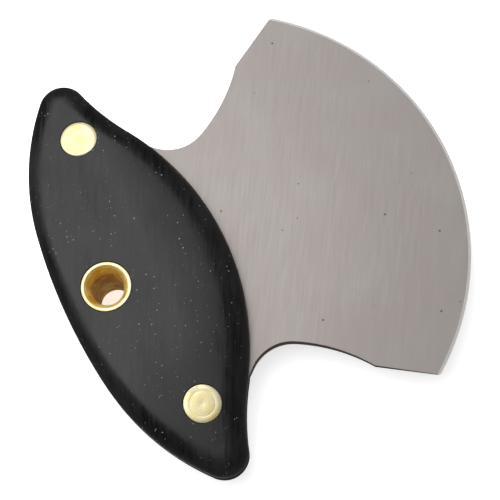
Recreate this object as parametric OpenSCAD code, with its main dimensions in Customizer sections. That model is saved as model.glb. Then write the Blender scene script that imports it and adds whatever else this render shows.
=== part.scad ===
// Head knife: a round leather-cutting blade on a full tang, gripped by two scales.
// X runs from the grip to the cutting edge, Y along the grip, Z out of the blade's side.
// The origin is the middle of the lanyard hole. All sizes are in millimetres.

/* [Blade] */
// thickness of the steel at the tang
blade_t = 3.2; // [2:0.1:5]
// lanyard hole to the middle of the cutting edge
edge_reach = 89.8; // [60:0.1:120]
// radius of the cutting edge
edge_r = 63.7; // [40:0.1:100]
// half the width from corner to corner
corner_y = 50.8; // [35:0.1:70]
// rounding of the two corners
corner_r = 1; // [0.5:0.1:3]
// radius of the finger notch between the grip and the spine
notch_r = 10.2; // [6:0.1:16]
// how far in front of the lanyard hole the finger notch is centred
notch_x = 31.4; // [25:0.1:40]
// how far off the centre line the finger notch is centred
notch_y = 38.1; // [32:0.1:50]
// radius of the long hollow that runs from the notch to the spine
hollow_r = 42.8; // [25:0.1:80]
// slope at which the notch runs into the hollow, in degrees
hollow_start = 27.7; // [15:0.1:40]
// slope at which the hollow ends in the shoulder, in degrees
hollow_end = 54.9; // [40:0.1:70]

/* [Grind] */
// width of the main grind, measured back from the edge
grind_w = 30; // [10:1:40]
// thickness of the steel just behind the edge bevel
behind_edge_t = 0.7; // [0.3:0.05:1.5]
// width of the edge bevel
bevel_w = 0.7; // [0.3:0.05:2]
// thickness left at the edge itself
edge_t = 0.06; // [0.02:0.01:0.2]

/* [Grip] */
// full thickness of the grip at its middle
grip_t = 21; // [14:0.5:28]
// lanyard hole to the back of the grip
grip_back = 12; // [8:0.5:20]
// lanyard hole to the front of the grip
grip_front = 31; // [25:0.5:40]
// half the length of the grip
grip_half = 54; // [40:0.5:70]
// radius of the middle of the grip's back
back_r = 144; // [80:1:300]
// angle either side of the centre line where the back's tighter ends begin
back_split = 8; // [4:0.5:15]
// tighter radius of the two ends of the back
back_end_r = 62; // [50:1:80]
// radius of the grip's front
front_r = 66; // [50:1:90]
// radius of the hollow between the front and each tip
waist_r = 60; // [30:1:120]
// radius of each tip
tip_r = 6; // [4:0.5:9]
// how far the grip's middle sits off the blade's centre line
grip_shift = 1; // [0:0.1:3]
// how far the grip is turned on the tang, in degrees
grip_turn = 1.5; // [0:0.1:4]
// radius of the crown over the grip
crown_r = 310; // [200:5:600]
// how far in front of the lanyard hole the crown peaks
crown_x = 4; // [0:0.5:12]
// how much of the crown's peak is dressed off flat, round the lanyard hole
crown_flat = 0.9; // [0.8:0.1:1.5]

/* [Rivets] */
// half the distance between the two rivets
rivet_half = 36.9; // [25:0.1:45]
// how far in front of the lanyard hole the rivets sit
rivet_x = 9; // [4:0.5:14]
// diameter of a rivet head
rivet_head_d = 9.2; // [7:0.1:11]
// diameter of the counterbore round a rivet head
rivet_seat_d = 9.5; // [7.3:0.1:11.5]
// distance between the undersides of the two heads
rivet_grip = 10.8; // [7:0.1:14]
// outside diameter of the hollow half's tube
rivet_tube_d = 6.2; // [5:0.1:7]
// diameter of the solid half's shank, a press fit in the tube
rivet_shank_d = 4.6; // [3:0.1:5]

/* [Lanyard liner] */
// bore through the liner
liner_bore_d = 7.94; // [6:0.01:10]
// diameter of each flange
liner_flange_d = 12.3; // [10:0.1:14]
// diameter of the counterbore round each flange
liner_seat_d = 12.7; // [10.4:0.1:14.4]
// depth of each flange into its scale
liner_flange_t = 2.2; // [1:0.1:4]
// width of the flat ring outside the countersink
liner_rim_w = 0.7; // [0.4:0.1:1.2]
// depth of the countersink
liner_sink = 2.7; // [1:0.1:3]
// outside diameter of the outer tube
liner_outer_d = 10.6; // [9:0.1:11.5]
// outside diameter of the inner tube, a press fit in the outer one
liner_inner_d = 9.2; // [8.6:0.1:10]
// length of the full-bore lip below each countersink
liner_lip = 1; // [0.5:0.1:2]
// gap left between the inner tube's end and the far lip
liner_gap = 1.4; // [0.5:0.1:3]

/* [Fits] */
// clearance round the rivets and the liner in the tang
tang_gap = 0.1; // [0.05:0.05:0.4]

/* [Hidden] */
$fn = 96;
eps = 0.01;
lap = 0.5;
// how far a hollow bites into its neighbours, so that their surfaces cross and don't graze
bite = 0.02;
half_t = blade_t / 2;
half_grip = grip_t / 2;
half_rivet = rivet_grip / 2;
mouth_z = half_grip - liner_sink;
lip_z = mouth_z - liner_lip;

STEEL = [0.64, 0.62, 0.60];
PLASTIC = [0.13, 0.13, 0.135];
BRASS = [0.86, 0.74, 0.42];

function dir(a) = [cos(a), sin(a)];
function bearing(p, q) = atan2(q[1] - p[1], q[0] - p[0]);
function across(p) = [p[0], -p[1]];
function vertex(p, r) = [p[0], p[1], r];

// blade: centres and tangent points of the upper half
edge_c = [edge_reach - edge_r, 0];
corner_p = [edge_c[0] + sqrt(pow(edge_r, 2) - pow(corner_y, 2)), corner_y];
notch_c = [notch_x, notch_y];
hollow_c = notch_c + (notch_r - hollow_r) * [sin(hollow_start), -cos(hollow_start)];
notch_end = notch_c + notch_r * [sin(hollow_start), -cos(hollow_start)];
shoulder_p = hollow_c + hollow_r * [sin(hollow_end), -cos(hollow_end)];
notch_start_a = 42;
notch_start = notch_c - notch_r * [sin(notch_start_a), cos(notch_start_a)];
run_in = 5;
notch_run_in = notch_start + run_in * [-cos(notch_start_a), sin(notch_start_a)];
corner_turn = bearing(edge_c, corner_p) - 90;
corner_cut = corner_r / tan((180 - bearing(shoulder_p, corner_p) + corner_turn) / 2);
corner_in = corner_p - corner_cut * dir(bearing(shoulder_p, corner_p));
corner_out = corner_p + corner_cut * dir(corner_turn);
overrun = 8;
overrun_share = 0.6;
beyond_edge = [edge_reach + overrun, overrun_share * corner_y];

// grip: centres and tangent points of the upper half
back_c = [back_r - grip_back, 0];
back_split_p = back_c + back_r * dir(180 - back_split);
back_end_c = back_split_p + back_end_r * dir(-back_split);
tip_y = grip_half - tip_r;
tip_c = [back_end_c[0] - sqrt(pow(back_end_r - tip_r, 2) - pow(tip_y - back_end_c[1], 2)), tip_y];
front_c = [grip_front - front_r, 0];
span = norm(tip_c - front_c);
span_dir = (tip_c - front_c) / span;
waist_along = (pow(front_r + waist_r, 2) - pow(tip_r + waist_r, 2) + pow(span, 2)) / (2 * span);
waist_off = sqrt(pow(front_r + waist_r, 2) - pow(waist_along, 2));
waist_c = front_c + waist_along * span_dir + waist_off * [span_dir[1], -span_dir[0]];
tip_back_a = bearing(back_end_c, tip_c);
tip_front_a = bearing(tip_c, waist_c);
front_a = bearing(front_c, waist_c);
tip_back_p = tip_c + tip_r * dir(tip_back_a);
tip_front_p = tip_c + tip_r * dir(tip_front_a);
front_p = front_c + front_r * dir(front_a);

// Each vertex is [x, y, radius of the arc to the next one]. The list runs clockwise.
// A radius of 0 is a straight line, and the hollows are cut out of the plate later.
head_list = [
    vertex(notch_run_in, 0), vertex(notch_start, 0), vertex(notch_end, 0),
    vertex(shoulder_p, 0), vertex(corner_in, corner_r), vertex(corner_out, 0),
    vertex(beyond_edge, 0), vertex(across(beyond_edge), 0),
    vertex(across(corner_out), corner_r), vertex(across(corner_in), 0),
    vertex(across(shoulder_p), 0), vertex(across(notch_end), 0),
    vertex(across(notch_start), 0), vertex(across(notch_run_in), 0)
];
grip_list = [
    vertex(back_split_p, back_end_r), vertex(tip_back_p, tip_r), vertex(tip_front_p, 0),
    vertex(front_p, front_r), vertex(across(front_p), 0),
    vertex(across(tip_front_p), tip_r), vertex(across(tip_back_p), back_end_r),
    vertex(across(back_split_p), back_r)
];

// what lies between the straight line a-b and the arc over it, lapped a little past the line
module arc_segment(a, b) {
    r = a[2];
    from = [a[0], a[1]];
    to = [b[0], b[1]];
    chord = norm(to - from);
    out = [from[1] - to[1], to[0] - from[0]] / chord;
    centre = (from + to) / 2 - sqrt(pow(r, 2) - pow(chord / 2, 2)) * out;
    intersection() {
        translate(centre) circle(r);
        polygon([from - lap * out, to - lap * out, to + r * out, from + r * out]);
    }
}

// plate of thickness h with that outline, each piece of it kept inside the child if limited
module arc_plate(list, h, limited) {
    last = len(list) - 1;
    within(limited) {
        linear_extrude(h) polygon([for (p = list) [p[0], p[1]]]);
        children();
    }
    for (i = [0 : last]) if (list[i][2] > 0) within(limited) {
        linear_extrude(h) arc_segment(list[i], list[(i + 1) % (last + 1)]);
        children();
    }
}

// the first child, kept inside the second if limited
module within(limited) {
    if (limited) intersection() {
        children(0);
        children(1);
    }
    else children(0);
}

// plate of thickness h with the grip's outline, kept inside the child if limited
module grip_plate(h, limited) {
    difference() {
        union() arc_plate(grip_list, h, limited) children();
        for (side = [-1, 1])
            translate([waist_c[0], side * waist_c[1], -1]) cylinder(h = h + 2, r = waist_r + bite);
    }
}

module on_grip() {
    translate([0, grip_shift]) rotate(grip_turn) children();
}

module at_rivet(side) {
    on_grip() translate([rivet_x, side * rivet_half]) children();
}

// the ground head as a body of revolution about the middle of the cutting edge's circle
module grind_body() {
    behind = behind_edge_t / 2;
    thin = edge_t / 2;
    translate([edge_c[0], edge_c[1], 0]) rotate_extrude($fn = 256) polygon([
        [0, -half_t], [edge_r - grind_w, -half_t], [edge_r - bevel_w, -behind], [edge_r, -thin],
        [edge_r, thin], [edge_r - bevel_w, behind], [edge_r - grind_w, half_t], [0, half_t]
    ]);
}

// what is cut away between the grip and one shoulder: the finger notch, then the long hollow
module spine_cut() {
    from = 2 * hollow_r * dir(hollow_start - 90);
    to = 2 * hollow_r * dir(hollow_end - 90);
    translate([notch_c[0], notch_c[1], -half_t - 1]) cylinder(h = blade_t + 2, r = notch_r);
    translate([hollow_c[0], hollow_c[1], -half_t - 1]) linear_extrude(blade_t + 2) intersection() {
        circle(hollow_r);
        polygon([[0, 0], from, to]);
    }
}

module blade() {
    color(STEEL) difference() {
        union() {
            intersection() {
                difference() {
                    translate([0, 0, -half_t]) arc_plate(head_list, blade_t, false);
                    for (side = [0, 1]) mirror([0, side, 0]) spine_cut();
                }
                grind_body();
            }
            on_grip() translate([0, 0, -half_t]) grip_plate(blade_t, false);
        }
        translate([0, 0, -half_t - 1]) cylinder(h = blade_t + 2, d = liner_outer_d + 2 * tang_gap);
        for (side = [-1, 1]) at_rivet(side)
            translate([0, 0, -half_t - 1]) cylinder(h = blade_t + 2, d = rivet_tube_d + 2 * tang_gap);
    }
}

// ball whose top is the crown of the grip, before its peak is dressed off
module crown() {
    translate([crown_x, 0, half_grip + crown_flat - crown_r]) rotate([90, 0, 0]) sphere(crown_r, $fn = 256);
}

// one scale with its flat-topped crown, before any hole is made
module scale_blank() {
    on_grip() translate([0, 0, half_t]) grip_plate(half_grip - half_t, true) translate([0, 0, -half_t]) crown();
}

module scale_body() {
    difference() {
        scale_blank();
        cylinder(h = grip_t, d = liner_outer_d);
        translate([0, 0, half_grip - liner_flange_t]) cylinder(h = grip_t, d = liner_seat_d);
        for (side = [-1, 1]) at_rivet(side) {
            cylinder(h = grip_t, d = rivet_tube_d);
            translate([0, 0, half_rivet]) cylinder(h = grip_t, d = rivet_seat_d);
        }
    }
}

module upper_scale() {
    color(PLASTIC) scale_body();
}

module lower_scale() {
    color(PLASTIC) mirror([0, 0, 1]) scale_body();
}

// a rivet head, finished flush with the crown of the grip
module rivet_head(side) {
    intersection() {
        at_rivet(side) translate([0, 0, half_rivet]) cylinder(h = half_grip, d = rivet_head_d);
        on_grip() crown();
    }
}

module rivet_tube(side) {
    color(BRASS) difference() {
        union() {
            rivet_head(side);
            at_rivet(side) translate([0, 0, -half_rivet]) cylinder(h = rivet_grip + eps, d = rivet_tube_d);
        }
        at_rivet(side) translate([0, 0, -half_rivet - 1]) cylinder(h = rivet_grip + 1, d = rivet_shank_d);
    }
}

module rivet_shank(side) {
    color(BRASS) union() {
        mirror([0, 0, 1]) rivet_head(side);
        at_rivet(side) translate([0, 0, -half_rivet - eps]) cylinder(h = rivet_grip - 1, d = rivet_shank_d);
    }
}

module rivet_a_tube() {
    rivet_tube(1);
}

module rivet_a_shank() {
    rivet_shank(1);
}

module rivet_b_tube() {
    rivet_tube(-1);
}

module rivet_b_shank() {
    rivet_shank(-1);
}

// flange, countersink and lip that both halves of the liner share
module liner_mouth(tube_d) {
    sink_d = liner_flange_d - 2 * liner_rim_w;
    rotate_extrude() polygon([
        [liner_bore_d / 2, lip_z], [tube_d / 2, lip_z], [tube_d / 2, half_grip - liner_flange_t],
        [liner_flange_d / 2, half_grip - liner_flange_t], [liner_flange_d / 2, half_grip],
        [sink_d / 2, half_grip], [liner_bore_d / 2, mouth_z]
    ]);
}

module liner_tube(outer_d, inner_d, low, high) {
    translate([0, 0, low]) difference() {
        cylinder(h = high - low, d = outer_d);
        translate([0, 0, -1]) cylinder(h = high - low + 2, d = inner_d);
    }
}

module liner_outer() {
    color(BRASS) union() {
        liner_mouth(liner_outer_d);
        liner_tube(liner_outer_d, liner_inner_d, -half_grip + liner_flange_t, lip_z + eps);
    }
}

module liner_inner() {
    color(BRASS) union() {
        mirror([0, 0, 1]) liner_mouth(liner_inner_d);
        liner_tube(liner_inner_d, liner_bore_d, -lip_z - eps, lip_z - liner_gap);
    }
}

blade();
upper_scale();
lower_scale();
rivet_a_tube();
rivet_a_shank();
rivet_b_tube();
rivet_b_shank();
liner_outer();
liner_inner();
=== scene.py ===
import math

import bmesh
import bpy
from mathutils import Euler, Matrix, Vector


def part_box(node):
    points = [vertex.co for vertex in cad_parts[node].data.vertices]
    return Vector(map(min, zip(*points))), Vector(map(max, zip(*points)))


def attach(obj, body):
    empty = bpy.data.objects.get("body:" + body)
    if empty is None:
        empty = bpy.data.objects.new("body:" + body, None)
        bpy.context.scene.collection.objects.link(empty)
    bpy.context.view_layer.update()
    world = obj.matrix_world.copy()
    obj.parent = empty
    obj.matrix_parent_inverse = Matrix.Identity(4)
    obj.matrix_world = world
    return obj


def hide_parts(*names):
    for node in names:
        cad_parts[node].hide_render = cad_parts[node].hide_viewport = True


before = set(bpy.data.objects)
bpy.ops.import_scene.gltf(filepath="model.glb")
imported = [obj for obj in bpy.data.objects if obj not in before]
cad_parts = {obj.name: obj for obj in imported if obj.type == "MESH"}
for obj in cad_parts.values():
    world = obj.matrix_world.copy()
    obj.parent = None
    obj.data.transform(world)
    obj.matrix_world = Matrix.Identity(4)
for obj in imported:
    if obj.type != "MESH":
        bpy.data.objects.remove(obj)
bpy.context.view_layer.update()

MM = 0.001
MERGE, SLACK = 0.001 * MM, 0.01 * MM
GRID = 3 * MM
SHARP, BLADE_SHARP = math.radians(24), math.radians(12)

# ---------------------------------------------------------------- sizes, in metres, as in the part's source where it has them
SEAM_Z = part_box("upper_scale")[0].z
TOP_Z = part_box("liner_outer")[1].z

# blade: the edge is an arc, and the grind starts a fixed way behind it
EDGE_C, EDGE_R = Vector((26.1 * MM, 0, 0)), 63.7 * MM
BEVEL_W, GRIND_W, GRIND_SOFT = 0.7 * MM, 30 * MM, 9 * MM
BLADE_HALF, BEHIND_EDGE_HALF = 1.6 * MM, 0.35 * MM
GRIND_SLOPE = (BLADE_HALF - BEHIND_EDGE_HALF) / (GRIND_W - BEVEL_W)
FLAT_ANGLE = math.radians(0.2)

# grip: a straight wall, a rounded rim, and a top that is flat round the liner and crowned beyond
GRIP_TURN, GRIP_SHIFT = math.radians(1.5), 1 * MM
WALL_TOP_Z = SEAM_Z + 1.2 * MM
CROWN_R, CROWN_X, CROWN_FLAT, CROWN_SOFT = 310 * MM, 4 * MM, 0.9 * MM, 0.35 * MM
FALL_X, FALL_R = 10 * MM, 75 * MM
ROUND_W, ROUND_POWER = 5.6 * MM, 2.5
# how far in each step of the rounded rim lies, in millimetres: closest where the round is steepest
ROUND_STEPS = (0.03, 0.12, 0.28, 0.5, 0.8, 1.15, 1.55, 2.0, 2.5, 3.05, 3.65, 4.25, 4.85, 5.4)

# rivets
RIVET_X, RIVET_HALF = 9 * MM, 36.9 * MM
HEAD_R, HEAD_SEAT_R, HEAD_Z = 4.6 * MM, 4.75 * MM, 5.4 * MM
TUBE_R, SHANK_R, SHANK_SHORT = 3.1 * MM, 2.3 * MM, 1 * MM
CHAMFER, DISH = 0.3 * MM, 0.012 * MM

# liner
BORE_R, OUTER_R, INNER_R = 3.97 * MM, 5.3 * MM, 4.6 * MM
FLANGE_R, FLANGE_SEAT_R, FLANGE_T, FLANGE_BREAK = 6.15 * MM, 6.35 * MM, 2.2 * MM, 0.12 * MM
SINK_R, SINK_T, LIP_T, LINER_GAP = 5.45 * MM, 2.7 * MM, 1 * MM, 1.4 * MM
SINK_Z = TOP_Z - SINK_T
LIP_Z = SINK_Z - LIP_T
BELL_POWER, BELL_STEPS = 1.7, (0.08, 0.2, 0.34, 0.48, 0.62, 0.76, 0.88, 0.96)
UV_SPAN = 16 * MM


# ---------------------------------------------------------------- material helpers
def linear(code):
    """An sRGB hex colour as linear RGBA."""
    levels = [int(code[i:i + 2], 16) / 255 for i in (0, 2, 4)]
    return (*[c / 12.92 if c <= 0.04045 else ((c + 0.055) / 1.055) ** 2.4 for c in levels], 1)


def grey(level):
    """A mask level as RGBA."""
    return level, level, level, 1


def add(tree, kind, sockets=None, stops=None, **settings):
    """A shader node with its settings; a socket given as a value is linked, and stops fill a ramp."""
    node = tree.nodes.new("ShaderNode" + kind)
    for name, value in settings.items():
        setattr(node, name, value)
    for name, value in (sockets or {}).items():
        if isinstance(value, bpy.types.NodeSocket):
            tree.links.new(value, node.inputs[name])
        else:
            node.inputs[name].default_value = value
    if stops:
        ramp = node.color_ramp.elements
        while len(ramp) < len(stops):
            ramp.new(0.5)
        for element, (place, colour) in zip(ramp, stops):
            element.position, element.color = place, colour
    return node


def new_material(name):
    """A material with its tree, its shader and the outputs of its texture coordinates."""
    material = bpy.data.materials.new(name)
    material.use_nodes = True
    tree = material.node_tree
    return material, tree, tree.nodes["Principled BSDF"], tree.nodes.new("ShaderNodeTexCoord").outputs


# ---------------------------------------------------------------- materials
def satin_ground_steel():
    """Tool steel, belt-ground to a fine satin: soft even grey, faint warm and green clouds, hair-fine lines."""
    material, tree, bsdf, coords = new_material("satin_ground_tool_steel")
    # clouds about 18 mm across tint the reflection
    clouds = add(tree, "TexNoise", {"Vector": coords["Object"], "Scale": 1 / (18 * MM),
                                    "Detail": 3, "Roughness": 0.55})
    tint = add(tree, "ValToRGB", {"Fac": clouds.outputs["Fac"]},
               stops=[(0.34, linear("C5BFBA")), (0.5, linear("C3BBB7")),
                      (0.62, linear("C4BAB6")), (0.75, linear("C1BBB6"))])
    # grinding lines 0.35 mm apart and 12 mm long; the real ones are finer than the render can show
    lay = add(tree, "Mapping", {"Vector": coords["Object"], "Rotation": (0, 0, math.radians(-30)),
                                "Scale": (0.35 * MM, 12 * MM, 12 * MM)}, vector_type="TEXTURE")
    lines = add(tree, "TexNoise", {"Vector": lay.outputs["Vector"], "Scale": 1, "Detail": 2, "Roughness": 0.6})
    # handling scratches: marks 0.9 mm wide and 20 mm long, of which only the middles of the strongest show
    slant = add(tree, "Mapping", {"Vector": coords["Object"], "Rotation": (0, 0, math.radians(-36)),
                                  "Scale": (0.9 * MM, 20 * MM, 20 * MM)}, vector_type="TEXTURE")
    scratch = add(tree, "TexNoise", {"Vector": slant.outputs["Vector"], "Scale": 1,
                                     "Detail": 1, "Distortion": 0.4})
    thin = add(tree, "ValToRGB", {"Fac": scratch.outputs["Fac"]}, stops=[(0.70, grey(0)), (0.78, grey(0.25))])
    lit = add(tree, "Mix", {"Factor": thin.outputs["Color"], "A": tint.outputs["Color"],
                            "B": linear("D6D3CF")}, data_type="RGBA")
    # pits up to 0.5 mm wide, in about a third of cells 9 mm across
    cells = add(tree, "TexVoronoi", {"Vector": coords["Object"], "Scale": 1 / (9 * MM), "Randomness": 1},
                voronoi_dimensions="2D")
    size = add(tree, "MapRange", {"Value": cells.outputs["Color"], "From Min": 0.55, "From Max": 0.9,
                                  "To Min": 0, "To Max": 0.03})
    pit = add(tree, "Math", {0: cells.outputs["Distance"], 1: size.outputs["Result"]}, operation="LESS_THAN")
    pitted = add(tree, "Mix", {"Factor": pit.outputs["Value"], "A": lit.outputs["Result"],
                               "B": linear("76706C")}, data_type="RGBA")
    tree.links.new(pitted.outputs["Result"], bsdf.inputs["Base Color"])
    bsdf.inputs["Metallic"].default_value = 1
    gloss = add(tree, "MapRange", {"Value": lines.outputs["Fac"], "From Min": 0.3, "From Max": 0.7,
                                   "To Min": 0.46, "To Max": 0.52})
    tree.links.new(gloss.outputs["Result"], bsdf.inputs["Roughness"])
    bump = add(tree, "Bump", {"Height": lines.outputs["Fac"], "Strength": 0.08, "Distance": 0.01 * MM})
    tree.links.new(bump.outputs["Normal"], bsdf.inputs["Normal"])
    return material


def pale_honed_steel_painted_glint():
    """Tool steel, stoned along the cutting bevel, with real stone marks; its pale, half-matt tone is a painted
    highlight that stands in for the bright glint along the edge.
    """
    material, tree, bsdf, coords = new_material("honed_tool_steel_painted_glint")
    # stone marks 0.3 mm apart
    lay = add(tree, "Mapping", {"Vector": coords["Object"], "Scale": (0.3 * MM, 0.3 * MM, 4 * MM)},
              vector_type="TEXTURE")
    marks = add(tree, "TexNoise", {"Vector": lay.outputs["Vector"], "Scale": 1, "Detail": 2})
    tone = add(tree, "ValToRGB", {"Fac": marks.outputs["Fac"]},
               stops=[(0.3, linear("D9D6D2")), (0.7, linear("EFEDEA"))])
    tree.links.new(tone.outputs["Color"], bsdf.inputs["Base Color"])
    # painted highlight: a pale matt face is mixed into the metal so that the whole bevel shows bright, standing
    # in for the glint along the edge
    bsdf.inputs["Metallic"].default_value = 0.42
    bsdf.inputs["Roughness"].default_value = 0.35
    return material


def moulded_black():
    """Black polypropylene, moulded and buffed: deep satin black, cloudy handling marks, fine pale dust."""
    material, tree, bsdf, coords = new_material("moulded_black_polypropylene")
    # buffing clouds 9 mm wide, drawn out to 20 mm along the grip
    lay = add(tree, "Mapping", {"Vector": coords["Object"], "Scale": (9 * MM, 20 * MM, 9 * MM)},
              vector_type="TEXTURE")
    clouds = add(tree, "TexNoise", {"Vector": lay.outputs["Vector"], "Scale": 1, "Detail": 4,
                                    "Roughness": 0.55, "Distortion": 0.3})
    # faint wiping streaks 0.5 mm wide and 9 mm long
    wipe = add(tree, "Mapping", {"Vector": coords["Object"], "Rotation": (0, 0, math.radians(-24)),
                                 "Scale": (0.5 * MM, 9 * MM, 9 * MM)}, vector_type="TEXTURE")
    streaks = add(tree, "TexNoise", {"Vector": wipe.outputs["Vector"], "Scale": 1, "Detail": 2})
    # dust: specks up to 0.3 mm wide, in some of the cells 1.3 mm across, gathered in patches 11 mm across
    cells = add(tree, "TexVoronoi", {"Vector": coords["Object"], "Scale": 1 / (1.3 * MM), "Randomness": 1},
                voronoi_dimensions="2D")
    size = add(tree, "MapRange", {"Value": cells.outputs["Color"], "From Min": 0.58, "From Max": 0.95,
                                  "To Min": 0, "To Max": 0.11})
    speck = add(tree, "Math", {0: cells.outputs["Distance"], 1: size.outputs["Result"]}, operation="LESS_THAN")
    patch = add(tree, "TexNoise", {"Vector": coords["Object"], "Scale": 1 / (11 * MM), "Detail": 2})
    where = add(tree, "ValToRGB", {"Fac": patch.outputs["Fac"]}, stops=[(0.4, grey(0)), (0.58, grey(1))])
    dust = add(tree, "Mix", {"Factor": 1, "A": speck.outputs["Value"], "B": where.outputs["Color"]},
               data_type="RGBA", blend_type="MULTIPLY")
    wear = add(tree, "Mix", {"Factor": 0.4, "A": clouds.outputs["Fac"], "B": streaks.outputs["Fac"]},
               data_type="FLOAT")
    tone = add(tree, "ValToRGB", {"Fac": wear.outputs["Result"]},
               stops=[(0.4, linear("030303")), (0.62, linear("1C1C1D"))])
    dusty = add(tree, "Mix", {"Factor": dust.outputs["Result"], "A": tone.outputs["Color"],
                              "B": linear("9C9EA0")}, data_type="RGBA")
    tree.links.new(dusty.outputs["Result"], bsdf.inputs["Base Color"])
    gloss = add(tree, "MapRange", {"Value": wear.outputs["Result"], "From Min": 0.35, "From Max": 0.65,
                                   "To Min": 0.24, "To Max": 0.54})
    tree.links.new(gloss.outputs["Result"], bsdf.inputs["Roughness"])
    bsdf.inputs["IOR"].default_value = 1.49
    bsdf.inputs["Specular IOR Level"].default_value = 0.74
    # moulding texture 0.8 mm across
    fine = add(tree, "TexNoise", {"Vector": coords["Object"], "Scale": 1 / (0.8 * MM), "Detail": 2})
    bump = add(tree, "Bump", {"Height": fine.outputs["Fac"], "Strength": 0.1, "Distance": 0.02 * MM})
    tree.links.new(bump.outputs["Normal"], bsdf.inputs["Normal"])
    return material


def turned_brass(name, light, deep, metallic, roughness):
    """Cartridge brass, turned on a lathe: pale gold with rings where the tool passed and soft tarnish."""
    material, tree, bsdf, coords = new_material(name)
    # the UV map holds the piece's own axis at its middle; this turns it to millimetres from the axis
    span = UV_SPAN / MM
    turned = add(tree, "Mapping", {"Vector": coords["UV"], "Location": (-span / 2, -span / 2, 0),
                                   "Scale": (span, span, span)})
    # tool rings 0.6 mm apart
    rings = add(tree, "TexWave", {"Vector": turned.outputs["Vector"], "Scale": 0.5, "Distortion": 0.8,
                                  "Detail": 2}, wave_type="RINGS", rings_direction="Z")
    # tarnish patches about 3 mm across
    patch = add(tree, "TexNoise", {"Vector": coords["Object"], "Scale": 1 / (3 * MM), "Detail": 3})
    blend = add(tree, "Mix", {"Factor": 0.1, "A": patch.outputs["Fac"], "B": rings.outputs["Fac"]},
                data_type="FLOAT")
    tone = add(tree, "ValToRGB", {"Fac": blend.outputs["Result"]},
               stops=[(0.38, linear(light)), (0.62, linear(deep))])
    tree.links.new(tone.outputs["Color"], bsdf.inputs["Base Color"])
    bsdf.inputs["Metallic"].default_value = metallic
    bsdf.inputs["Roughness"].default_value = roughness
    bump = add(tree, "Bump", {"Height": rings.outputs["Fac"], "Strength": 0.06, "Distance": 0.01 * MM})
    tree.links.new(bump.outputs["Normal"], bsdf.inputs["Normal"])
    return material


def opal_white_painted_glow():
    """Opal acrylic, an even white with a painted glow: the board gives off light of its own, with no lamp under
    it, and this keeps the shadows pale.
    """
    material, tree, bsdf, coords = new_material("opal_acrylic_painted_glow")
    # faint unevenness 4 mm across
    grain = add(tree, "TexNoise", {"Vector": coords["Object"], "Scale": 1 / (4 * MM), "Detail": 2})
    tone = add(tree, "ValToRGB", {"Fac": grain.outputs["Fac"]},
               stops=[(0.3, linear("F6F6F6")), (0.7, linear("FAFAFA"))])
    tree.links.new(tone.outputs["Color"], bsdf.inputs["Base Color"])
    bsdf.inputs["Roughness"].default_value = 0.9
    # painted glow: the board's own emission lifts the shadows round and under the knife
    bsdf.inputs["Emission Color"].default_value = linear("FFFFFF")
    bsdf.inputs["Emission Strength"].default_value = 0.66
    bsdf.inputs["Specular IOR Level"].default_value = 0.1
    return material


STEEL, EDGE_STEEL_PAINTED_GLINT, BLACK = satin_ground_steel(), pale_honed_steel_painted_glint(), moulded_black()
# neither brass is fully metallic: the matt share is painted light that brightens faces whose reflections are
# dark, most of all the countersink; the paler brass on the rivet heads and the liner's flange face is a painted
# sheen
PALE_BRASS_PAINTED_SHEEN = turned_brass("faced_cartridge_brass_painted_sheen", "FFF7D0", "FAE8A8", 0.75, 0.36)
HALF_MATT_BRASS_PAINTED_LIGHT = turned_brass("turned_cartridge_brass_painted_light", "FFE690", "DDAC3C", 0.5, 0.36)


# ---------------------------------------------------------------- shaping helpers
def cad_copy(name):
    """A merged copy of a CAD node's triangles."""
    bm = bmesh.new()
    bm.from_mesh(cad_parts[name].data)
    bmesh.ops.remove_doubles(bm, verts=bm.verts, dist=MERGE)
    return bm


def eased(value, width):
    """Zero below zero and value above it, eased over width on each side."""
    if abs(value) > width:
        return max(0, value)
    return (value + width) ** 2 / (4 * width)


def crown_z(co):
    """Height of the grip's top over a point: flat round the liner, then a crown, lowest towards the blade."""
    away = (co.x - CROWN_X) ** 2 + (co.y - GRIP_SHIFT) ** 2
    drop = CROWN_R - math.sqrt(CROWN_R ** 2 - away) - CROWN_FLAT
    return TOP_Z - eased(drop, CROWN_SOFT) - max(0, co.x - FALL_X) ** 2 / (2 * FALL_R)


def rivet_centre(side):
    """Where a rivet's axis stands, on the grip's slightly turned and shifted centre line."""
    place = Vector((RIVET_X, side * RIVET_HALF, 0))
    place.rotate(Euler((0, 0, GRIP_TURN)))
    return place + Vector((0, GRIP_SHIFT, 0))


def grid_cuts(name):
    """The upright planes, one grid step apart, that cross a CAD node both ways."""
    low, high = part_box(name)
    for axis, start, end in ((Vector((1, 0, 0)), low.x, high.x), (Vector((0, 1, 0)), low.y, high.y)):
        for step in range(math.ceil(start / GRID), math.floor(end / GRID) + 1):
            yield {"plane_co": axis * step * GRID, "plane_no": axis}


def lathe(bm, profile, centre=Vector((0, 0, 0)), steps=96):
    """Turns a closed profile of (radius, height) about the Z axis through centre."""
    ring = [bm.verts.new((r, 0, z)) for r, z in profile]
    edges = [bm.edges.new(pair) for pair in zip(ring, ring[1:] + ring[:1])]
    bmesh.ops.spin(bm, geom=ring + edges, axis=(0, 0, 1), cent=(0, 0, 0), angle=2 * math.pi,
                   steps=steps, use_merge=True)
    # a tag marks what earlier turnings put in their place
    bmesh.ops.remove_doubles(bm, verts=[v for v in bm.verts if not v.tag], dist=MERGE / 10)
    for vert in bm.verts:
        if not vert.tag:
            vert.co += centre
            vert.tag = True


def flipped(bm):
    """Turns a shape over, so that it faces the far side of the knife."""
    bmesh.ops.scale(bm, vec=(1, 1, -1), verts=bm.verts)


def centred_uv(bm, centre):
    """A flat UV map with the piece's own axis at its middle."""
    layer = bm.loops.layers.uv.new("turned")
    for face in bm.faces:
        for loop in face.loops:
            away = (loop.vert.co - centre) / UV_SPAN
            loop[layer].uv = (away.x + 0.5, away.y + 0.5)


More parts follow.
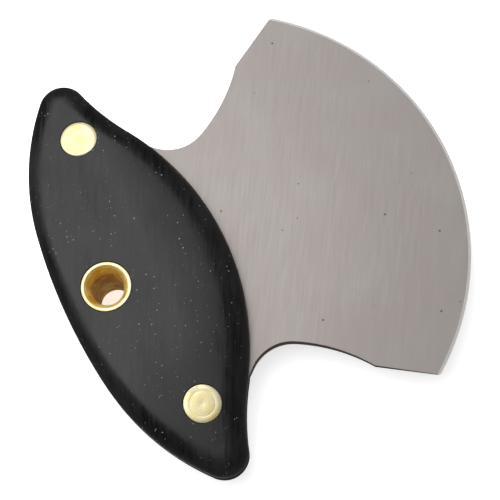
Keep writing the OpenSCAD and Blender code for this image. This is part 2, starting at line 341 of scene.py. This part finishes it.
def as_object(name, bm, *materials, sharp=SHARP):
    """A finished object, smooth but for the edges that turn by more than sharp."""
    bmesh.ops.recalc_face_normals(bm, faces=bm.faces)
    for face in bm.faces:
        face.smooth = True
    for edge in bm.edges:
        edge.smooth = edge.is_manifold and edge.calc_face_angle(0) < sharp
    mesh = bpy.data.meshes.new(name)
    bm.to_mesh(mesh)
    bm.free()
    for material in materials:
        mesh.materials.append(material)
    obj = bpy.data.objects.new(name, mesh)
    bpy.context.scene.collection.objects.link(obj)
    return obj


def fit(obj, slot, *nodes):
    """Puts a finished piece on the knife in place of its CAD nodes."""
    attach(obj, "root")
    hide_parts(*nodes)


# ---------------------------------------------------------------- blade
def ground_blade():
    """The blade and its tang, with the start of the grind eased and the honed bevel set apart."""
    bm = cad_copy("blade")
    bmesh.ops.dissolve_limit(bm, angle_limit=FLAT_ANGLE, verts=bm.verts, edges=bm.edges)
    # small faces let the shading follow the eased start of the grind
    for cut in grid_cuts("blade"):
        bmesh.ops.bisect_plane(bm, geom=[*bm.verts, *bm.edges, *bm.faces], **cut)
    for vert in bm.verts:
        behind = EDGE_R - (vert.co.xy - EDGE_C.xy).length
        if behind > BEVEL_W + 10 * SLACK:
            half = BLADE_HALF - GRIND_SLOPE * eased(GRIND_W - behind, GRIND_SOFT)
            vert.co.z = math.copysign(half, vert.co.z)
    # the bevel takes the pale steel, a painted highlight along the cutting edge
    for face in bm.faces:
        behind = EDGE_R - (face.calc_center_median().xy - EDGE_C.xy).length
        face.material_index = 1 if behind < BEVEL_W else 0
    return as_object("ground_blade", bm, STEEL, EDGE_STEEL_PAINTED_GLINT, sharp=BLADE_SHARP)


fit(ground_blade(), "steel", "blade")


# ---------------------------------------------------------------- scales
def outline_face():
    """The grip's outline as one face, from the flat underside of the upper scale."""
    bm = cad_copy("upper_scale")
    bmesh.ops.delete(bm, geom=[v for v in bm.verts if v.co.z > SEAM_Z + MERGE], context="VERTS")
    # the outer rim is the open loop that passes through the far tip; the holes' rims don't touch it
    rim, reached = set(), {max(bm.verts, key=lambda v: abs(v.co.y))}
    while reached:
        vert = reached.pop()
        for edge in vert.link_edges:
            if edge.is_boundary and edge not in rim:
                rim.add(edge)
                reached.add(edge.other_vert(vert))
    bmesh.ops.delete(bm, geom=[e for e in bm.edges if e not in rim], context="EDGES")
    bmesh.ops.delete(bm, geom=[v for v in bm.verts if not v.link_edges], context="VERTS")
    bmesh.ops.delete(bm, geom=bm.faces[:], context="FACES_ONLY")
    bmesh.ops.contextual_create(bm, geom=bm.edges[:])
    return bm, bm.faces[:][0]


def scale_holes():
    """Cutters for the liner's and the rivets' seats, each a stepped cylinder that stands out of the top."""
    bm = bmesh.new()
    over = TOP_Z + 4 * MM
    flange_z = TOP_Z - FLANGE_T
    lathe(bm, [(0, 0), (OUTER_R, 0), (OUTER_R, flange_z), (FLANGE_SEAT_R, flange_z),
               (FLANGE_SEAT_R, over), (0, over)])
    for side in (1, -1):
        lathe(bm, [(0, 0), (TUBE_R, 0), (TUBE_R, HEAD_Z), (HEAD_SEAT_R, HEAD_Z),
                   (HEAD_SEAT_R, over), (0, over)], rivet_centre(side))
    return as_object("hole_cutters", bm)


def bored(obj, cutters):
    """The shape of an object after its holes are cut, as a bmesh; both objects are removed."""
    cut = obj.modifiers.new("holes", "BOOLEAN")
    cut.operation, cut.solver, cut.object = "DIFFERENCE", "EXACT", cutters
    bpy.context.view_layer.update()
    bm = bmesh.new()
    bm.from_object(obj, bpy.context.evaluated_depsgraph_get())
    bmesh.ops.remove_doubles(bm, verts=bm.verts, dist=MERGE)
    for waste in (obj, cutters):
        bpy.data.objects.remove(waste)
    return bm


def moulded_scale():
    """The upper scale: a short straight wall, an edge rounded over in fine steps, and the crowned top."""
    bm, floor = outline_face()
    made = bmesh.ops.extrude_face_region(bm, geom=[floor])["geom"]
    top = [g for g in made if isinstance(g, bmesh.types.BMFace)][0]
    for vert in top.verts:
        vert.co.z = WALL_TOP_Z
    done = 0
    for step in ROUND_STEPS:
        bmesh.ops.inset_individual(bm, faces=[top], thickness=(step - done) * MM, use_even_offset=True)
        done = step
        share = math.sqrt(1 - (1 - step * MM / ROUND_W) ** ROUND_POWER)
        for vert in top.verts:
            vert.co.z = WALL_TOP_Z + share * (crown_z(vert.co) - WALL_TOP_Z)
    rim = set(top.verts)
    flat = [top, *top.edges, *top.verts]
    for cut in grid_cuts("upper_scale"):
        flat = bmesh.ops.bisect_plane(bm, geom=flat, **cut)["geom"]
    for item in flat:
        if isinstance(item, bmesh.types.BMVert) and item not in rim:
            item.co.z = crown_z(item.co)
    return as_object("upper_moulded_scale", bored(as_object("uncut_scale", bm), scale_holes()), BLACK)


def mirrored(obj, name):
    """The same piece for the far side of the knife."""
    bm = bmesh.new()
    bm.from_mesh(obj.data)
    flipped(bm)
    bmesh.ops.reverse_faces(bm, faces=bm.faces)
    return as_object(name, bm, *obj.data.materials)


upper = moulded_scale()
lower = mirrored(upper, "lower_moulded_scale")
fit(upper, "grip", "upper_scale")
fit(lower, "grip", "lower_scale")


# ---------------------------------------------------------------- rivets and liner
def rivet(name, side, hollow):
    """A cutler's rivet half, tube or shank, its chamfered head dressed to follow the grip's crown."""
    bm = bmesh.new()
    centre = rivet_centre(side)
    top = crown_z(centre)
    mark = [(0, top - 2 * DISH), (0.35 * MM, top - 2 * DISH), (0.6 * MM, top)]
    ring = [(2.9 * MM, top), (3 * MM, top - DISH), (3.1 * MM, top - DISH), (3.2 * MM, top)]
    corner = 0.3 * CHAMFER
    rim = [(HEAD_R - CHAMFER, top), (HEAD_R - corner, top - corner), (HEAD_R, top - CHAMFER), (HEAD_R, HEAD_Z)]
    tube = [(TUBE_R, HEAD_Z), (TUBE_R, -HEAD_Z), (SHANK_R, -HEAD_Z), (SHANK_R, HEAD_Z), (0, HEAD_Z)]
    shank = [(SHANK_R, HEAD_Z), (SHANK_R, -HEAD_Z + SHANK_SHORT), (0, -HEAD_Z + SHANK_SHORT)]
    lathe(bm, mark + ring + rim + (tube if hollow else shank), centre)
    for vert in bm.verts:
        if vert.co.z > HEAD_Z + 10 * SLACK:
            vert.co.z += crown_z(vert.co) - top
    if not hollow:
        flipped(bm)
    centred_uv(bm, centre)
    return as_object(name, bm, PALE_BRASS_PAINTED_SHEEN)


for letter, side in (("a", 1), ("b", -1)):
    fit(rivet(f"rivet_{letter}_faced_tube", side, True), "brass", f"rivet_{letter}_tube")
    fit(rivet(f"rivet_{letter}_faced_shank", side, False), "brass", f"rivet_{letter}_shank")


def liner(name, outer_r, end_r, low_z, flip):
    """A liner half: flange with a broken edge, belled countersink, full-bore lip and tube."""
    bm = bmesh.new()
    bell = [(BORE_R + share * (SINK_R - BORE_R), TOP_Z - SINK_T * (1 - share) ** BELL_POWER)
            for share in BELL_STEPS]
    mouth = [(BORE_R, LIP_Z), (BORE_R, SINK_Z), *bell, (SINK_R, TOP_Z)]
    flange = [(FLANGE_R - FLANGE_BREAK, TOP_Z), (FLANGE_R, TOP_Z - FLANGE_BREAK),
              (FLANGE_R, TOP_Z - FLANGE_T), (outer_r, TOP_Z - FLANGE_T)]
    lathe(bm, mouth + flange + [(outer_r, low_z), (end_r, low_z), (end_r, LIP_Z)], steps=128)
    if flip:
        flipped(bm)
    centred_uv(bm, Vector((0, 0, 0)))
    # the flange's face takes the paler brass of the rivet heads, a painted sheen that makes it brighter than
    # the countersink
    for face in bm.faces:
        lowest = min(abs(v.co.z) for v in face.verts)
        face.material_index = 1 if lowest > TOP_Z - FLANGE_BREAK - SLACK else 0
    return as_object(name, bm, HALF_MATT_BRASS_PAINTED_LIGHT, PALE_BRASS_PAINTED_SHEEN)


fit(liner("liner_turned_outer", OUTER_R, INNER_R, -TOP_Z + FLANGE_T, False), "brass", "liner_outer")
fit(liner("liner_turned_inner", INNER_R, BORE_R + SLACK, -LIP_Z + LINER_GAP, True), "brass", "liner_inner")


# ---------------------------------------------------------------- camera, floor and light
camera_data = bpy.data.cameras.new("camera")
camera_data.lens, camera_data.sensor_width = 144, 36
camera_data.clip_start, camera_data.clip_end = 0.01, 10
camera = bpy.data.objects.new("camera", camera_data)
bpy.context.scene.collection.objects.link(camera)
camera.location = (0.0193, -0.1434, 0.4695)
camera.rotation_euler = (math.radians(16), math.radians(4.99), math.radians(-23.45))
bpy.context.scene.camera = camera

# the knife lies on the flat of its lower scale
bm = bmesh.new()
bmesh.ops.create_grid(bm, x_segments=8, y_segments=8, size=1.5)
bmesh.ops.translate(bm, verts=bm.verts, vec=(0, 0, -TOP_Z))
board = as_object("white_board", bm, opal_white_painted_glow())
board.visible_glossy = False

world = bpy.data.worlds.new("soft_room")
world.use_nodes = True
world.node_tree.nodes["Background"].inputs["Color"].default_value = (1, 1, 1, 1)
world.node_tree.nodes["Background"].inputs["Strength"].default_value = 0.08
bpy.context.scene.world = world

turn = camera.rotation_euler.to_matrix()
RIGHT, UP = turn @ Vector((1, 0, 0)), turn @ Vector((0, 1, 0))
MIDDLE, ABOVE = Vector((0.035, 0, 0)), Vector((0, 0, 1))


def softbox(name, away, size, power, reflected=True):
    """A rectangular light that stands away from the knife's middle and faces it."""
    light = bpy.data.lights.new(name, "AREA")
    light.shape, light.size, light.size_y, light.energy = "RECTANGLE", *size, power
    obj = bpy.data.objects.new(name, light)
    bpy.context.scene.collection.objects.link(obj)
    obj.location = MIDDLE + away
    obj.rotation_euler = (-away).to_track_quat("-Z", "Y").to_euler()
    obj.visible_glossy = reflected


# the first and last also show as reflections in the steel, the grip and the brass; the other two don't
softbox("ceiling_softbox", ABOVE * 0.9 + UP * 0.30 - RIGHT * 0.4, (1.3, 1.2), 6.5)
softbox("key_softbox", ABOVE * 0.9 + UP * 0.9 - RIGHT * 0.35, (0.5, 0.5), 15, reflected=False)
softbox("board_fill", ABOVE * 1.6, (1.6, 1.6), 10, reflected=False)
softbox("left_softbox", ABOVE * 0.5 - RIGHT * 1.1, (0.8, 0.9), 0.9)

bpy.context.scene.view_settings.view_transform = "Standard"
